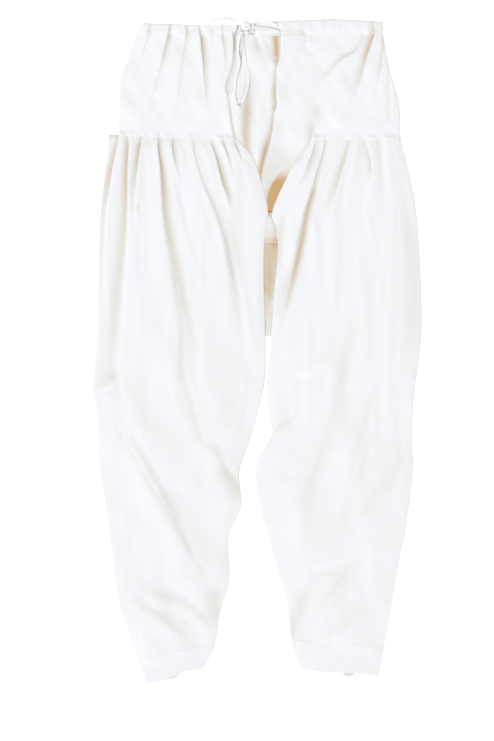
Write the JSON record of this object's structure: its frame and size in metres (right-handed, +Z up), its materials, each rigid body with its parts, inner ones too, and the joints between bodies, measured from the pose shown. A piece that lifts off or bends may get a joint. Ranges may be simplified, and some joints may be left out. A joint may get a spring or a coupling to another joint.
{
  "type": "patiala salwar",
  "caption": "Ivory cotton patiala salwar laid flat, pleated into a belt with a drawstring waist and banded ankle cuffs.",
  "frame": {"origin": "centre of the laid-out garment's outline, on the surface that it lies on", "axes": "+Y towards the waist, +X to the right seen from above, +Z up off the surface"},
  "size_m": [0.4982, 1.0005, 0.0161],
  "materials": {
    "cotton": "fine plain-weave cotton, matt with a faint sheen",
    "drawstring": "woven cotton tape, matt"
  },
  "bodies": {
    "root": {"leg_left": "cotton", "leg_right": "cotton", "cuff_left": "cotton", "cuff_right": "cotton", "yoke_front": "cotton", "yoke_back": "cotton", "casing_front_left": "cotton", "casing_front_right": "cotton", "casing_back": "cotton", "gusset_upper": "cotton", "gusset_lower": "cotton", "knot_waist": "drawstring", "knot_end": "drawstring", "cord_end_left": "drawstring", "cord_end_right": "drawstring", "cord_strand_left": "drawstring", "cord_strand_upper": "drawstring", "cord_strand_lower": "drawstring"}
  },
  "joints": []
}
